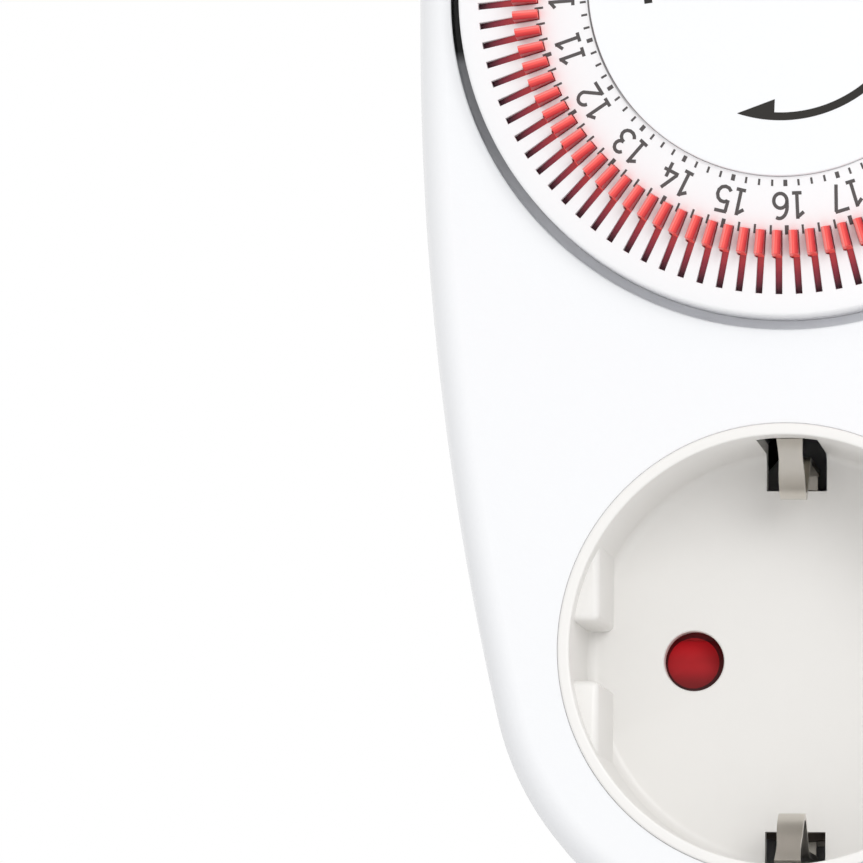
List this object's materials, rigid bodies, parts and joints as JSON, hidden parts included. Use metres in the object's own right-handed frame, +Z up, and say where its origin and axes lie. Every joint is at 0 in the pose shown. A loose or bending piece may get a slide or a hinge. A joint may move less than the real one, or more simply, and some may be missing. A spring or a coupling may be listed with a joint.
{
  "type": "plug-in timer switch",
  "caption": "Plug-in mechanical timer: a turning dial with sinking switching segments, an earthed socket below it and an earthed plug on its back.",
  "frame": {"origin": "midway between the two plug pins, on the plug body's end face, where the pins leave it", "axes": "+Y along the plug pins, towards the wall socket's inside; -Y out of the timer's front; +Z up towards the dial; +X to the right as the front is seen"},
  "size_m": [0.0703, 0.0817, 0.1228],
  "materials": {
    "housing_white": "glossy cool white moulded plastic",
    "socket_white": "satin warm white moulded plastic",
    "segment_red": "bright red moulded plastic",
    "shutter_red": "dark red moulded plastic",
    "inner_grey": "plain grey moulded plastic, hidden inside",
    "gear_ivory": "ivory acetal, hidden inside",
    "zinc_steel": "zinc plated steel",
    "nickel": "nickel plated brass",
    "contact_brass": "bare brass",
    "motor_can": "plain drawn can",
    "switch_black": "black moulded plastic",
    "lead_brown": "brown lead insulation",
    "lead_black": "black lead insulation",
    "lead_blue": "blue lead insulation"
  },
  "bodies": {
    "timer_housing": {"front_housing": "housing_white", "rear_housing": "housing_white", "socket_insert": "socket_white", "hub_cap": "housing_white", "movement_plate": "inner_grey", "housing_screws": "zinc_steel", "plate_screws": "zinc_steel", "plug_body": "housing_white", "plug_pin_live": "nickel", "plug_pin_neutral": "nickel", "plug_earth_strap": "nickel", "earth_bracket": "nickel", "earth_rivet": "zinc_steel", "contact_live": "contact_brass", "contact_neutral": "contact_brass", "contact_carrier": "inner_grey", "shutter_spring": "zinc_steel", "idler_axle": "zinc_steel", "motor_can": "motor_can", "trip_pivot": "zinc_steel", "switch_case": "switch_black", "switch_terminals": "contact_brass", "lead_live": "lead_brown", "lead_switched": "lead_black", "motor_leads": "lead_blue"},
    "dial": {"dial_ring": "housing_white", "dial_gear": "inner_grey"},
    "idler": {"idler_gear": "gear_ivory"},
    "motor_drive": {"motor_pinion": "contact_brass"},
    "lever": {"trip_lever": "gear_ivory"},
    "plunger": {"switch_plunger": "shutter_red"},
    "pin_shutter": {"shutter": "shutter_red"},
    "override": {"override_slide": "segment_red"},
    "hour_00": {"segments_00": "segment_red"},
    "hour_01": {"segments_01": "segment_red"},
    "hour_02": {"segments_02": "segment_red"},
    "hour_03": {"segments_03": "segment_red"},
    "hour_04": {"segments_04": "segment_red"},
    "hour_05": {"segments_05": "segment_red"},
    "hour_06": {"segments_06": "segment_red"},
    "hour_07": {"segments_07": "segment_red"},
    "hour_08": {"segments_08": "segment_red"},
    "hour_09": {"segments_09": "segment_red"},
    "hour_10": {"segments_10": "segment_red"},
    "hour_11": {"segments_11": "segment_red"},
    "hour_12": {"segments_12": "segment_red"},
    "hour_13": {"segments_13": "segment_red"},
    "hour_14": {"segments_14": "segment_red"},
    "hour_15": {"segments_15": "segment_red"},
    "hour_16": {"segments_16": "segment_red"},
    "hour_17": {"segments_17": "segment_red"},
    "hour_18": {"segments_18": "segment_red"},
    "hour_19": {"segments_19": "segment_red"},
    "hour_20": {"segments_20": "segment_red"},
    "hour_21": {"segments_21": "segment_red"},
    "hour_22": {"segments_22": "segment_red"},
    "hour_23": {"segments_23": "segment_red"}
  },
  "joints": [
    {"name": "dial_turn", "type": "hinge", "parent": "timer_housing", "child": "dial", "pos_m": [0, -0.05, 0.06], "axis": [0, 1, 0], "continuous": true},
    {"name": "idler_spin", "type": "hinge", "parent": "timer_housing", "child": "idler", "pos_m": [0, -0.05, 0.0368], "axis": [0, 1, 0], "continuous": true},
    {"name": "motor_spin", "type": "hinge", "parent": "timer_housing", "child": "motor_drive", "pos_m": [0.009, -0.05, 0.05239], "axis": [0, 1, 0], "continuous": true},
    {"name": "segments_00_press", "type": "slide", "parent": "dial", "child": "hour_00", "axis": [0, 1, 0], "range_m": [0, 0.002]},
    {"name": "segments_01_press", "type": "slide", "parent": "dial", "child": "hour_01", "axis": [0, 1, 0], "range_m": [0, 0.002]},
    {"name": "segments_02_press", "type": "slide", "parent": "dial", "child": "hour_02", "axis": [0, 1, 0], "range_m": [0, 0.002]},
    {"name": "segments_03_press", "type": "slide", "parent": "dial", "child": "hour_03", "axis": [0, 1, 0], "range_m": [0, 0.002]},
    {"name": "segments_04_press", "type": "slide", "parent": "dial", "child": "hour_04", "axis": [0, 1, 0], "range_m": [0, 0.002]},
    {"name": "segments_05_press", "type": "slide", "parent": "dial", "child": "hour_05", "axis": [0, 1, 0], "range_m": [0, 0.002]},
    {"name": "segments_06_press", "type": "slide", "parent": "dial", "child": "hour_06", "axis": [0, 1, 0], "range_m": [0, 0.002]},
    {"name": "segments_07_press", "type": "slide", "parent": "dial", "child": "hour_07", "axis": [0, 1, 0], "range_m": [0, 0.002]},
    {"name": "segments_08_press", "type": "slide", "parent": "dial", "child": "hour_08", "axis": [0, 1, 0], "range_m": [0, 0.002]},
    {"name": "segments_09_press", "type": "slide", "parent": "dial", "child": "hour_09", "axis": [0, 1, 0], "range_m": [0, 0.002]},
    {"name": "segments_10_press", "type": "slide", "parent": "dial", "child": "hour_10", "axis": [0, 1, 0], "range_m": [0, 0.002]},
    {"name": "segments_11_press", "type": "slide", "parent": "dial", "child": "hour_11", "axis": [0, 1, 0], "range_m": [0, 0.002]},
    {"name": "segments_12_press", "type": "slide", "parent": "dial", "child": "hour_12", "axis": [0, 1, 0], "range_m": [0, 0.002]},
    {"name": "segments_13_press", "type": "slide", "parent": "dial", "child": "hour_13", "axis": [0, 1, 0], "range_m": [0, 0.002]},
    {"name": "segments_14_press", "type": "slide", "parent": "dial", "child": "hour_14", "axis": [0, 1, 0], "range_m": [0, 0.002]},
    {"name": "segments_15_press", "type": "slide", "parent": "dial", "child": "hour_15", "axis": [0, 1, 0], "range_m": [0, 0.002]},
    {"name": "segments_16_press", "type": "slide", "parent": "dial", "child": "hour_16", "axis": [0, 1, 0], "range_m": [0, 0.002]},
    {"name": "segments_17_press", "type": "slide", "parent": "dial", "child": "hour_17", "axis": [0, 1, 0], "range_m": [0, 0.002]},
    {"name": "segments_18_press", "type": "slide", "parent": "dial", "child": "hour_18", "axis": [0, 1, 0], "range_m": [0, 0.002]},
    {"name": "segments_19_press", "type": "slide", "parent": "dial", "child": "hour_19", "axis": [0, 1, 0], "range_m": [0, 0.002]},
    {"name": "segments_20_press", "type": "slide", "parent": "dial", "child": "hour_20", "axis": [0, 1, 0], "range_m": [0, 0.002]},
    {"name": "segments_21_press", "type": "slide", "parent": "dial", "child": "hour_21", "axis": [0, 1, 0], "range_m": [0, 0.002]},
    {"name": "segments_22_press", "type": "slide", "parent": "dial", "child": "hour_22", "axis": [0, 1, 0], "range_m": [0, 0.002]},
    {"name": "segments_23_press", "type": "slide", "parent": "dial", "child": "hour_23", "axis": [0, 1, 0], "range_m": [0, 0.002]},
    {"name": "trip_lever_swing", "type": "hinge", "parent": "timer_housing", "child": "lever", "pos_m": [0.0248, -0.0474, 0.048], "axis": [-1, 0, 0], "range_deg": [0, 8.4]},
    {"name": "plunger_press", "type": "slide", "parent": "timer_housing", "child": "plunger", "axis": [0, 1, 0], "range_m": [0, 0.0012]},
    {"name": "shutter_turn", "type": "hinge", "parent": "timer_housing", "child": "pin_shutter", "pos_m": [0, -0.035, 0], "axis": [0, -1, 0], "range_deg": [0, 40], "stiffness_Nm_per_rad": 0.0005, "springref_deg": -11.46, "deforming": ["shutter_spring"]},
    {"name": "override_slide_move", "type": "slide", "parent": "timer_housing", "child": "override", "axis": [0, 0, 1], "range_m": [0, 0.004]}
  ],
  "couplings": [
    {"joint": "idler_spin", "follows": "dial_turn", "ratio": -4.8},
    {"joint": "motor_spin", "follows": "dial_turn", "ratio": 24},
    {"joint": "trip_lever_swing", "follows": "segments_21_press", "rad_per_m": 73.3},
    {"joint": "plunger_press", "follows": "segments_21_press", "ratio": 0.6}
  ]
}
